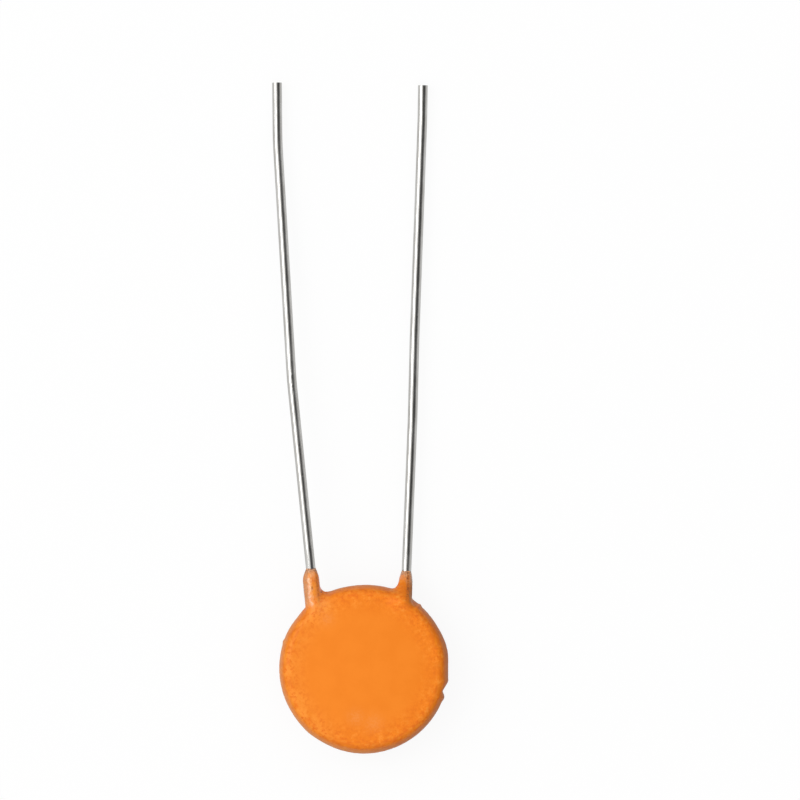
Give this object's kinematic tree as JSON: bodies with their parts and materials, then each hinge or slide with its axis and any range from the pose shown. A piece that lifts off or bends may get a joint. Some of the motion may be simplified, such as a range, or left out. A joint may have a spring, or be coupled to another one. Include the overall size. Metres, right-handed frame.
{
  "type": "ceramic disc capacitor",
  "caption": "Round orange resin-coated ceramic disc capacitor with long, slightly bent radial wire leads, lying flat on its back.",
  "frame": {"origin": "middle of the coated disc's flat back face, which it lies on", "axes": "+Z is the disc's axis, out of its front face; +Y runs along the leads to their tips; +X is to the right, seen from the front with the leads upwards"},
  "size_m": [0.0092, 0.035, 0.0025],
  "materials": {
    "coating": "satin",
    "ceramic": "matte",
    "electrode": "satin",
    "solder": "satin",
    "tinned_wire": "polished"
  },
  "bodies": {
    "root": {"resin_coating": "coating", "ceramic_disc": "ceramic", "front_electrode": "electrode", "back_electrode": "electrode", "front_solder": "solder", "back_solder": "solder", "front_lead": "tinned_wire", "back_lead": "tinned_wire"}
  },
  "joints": []
}
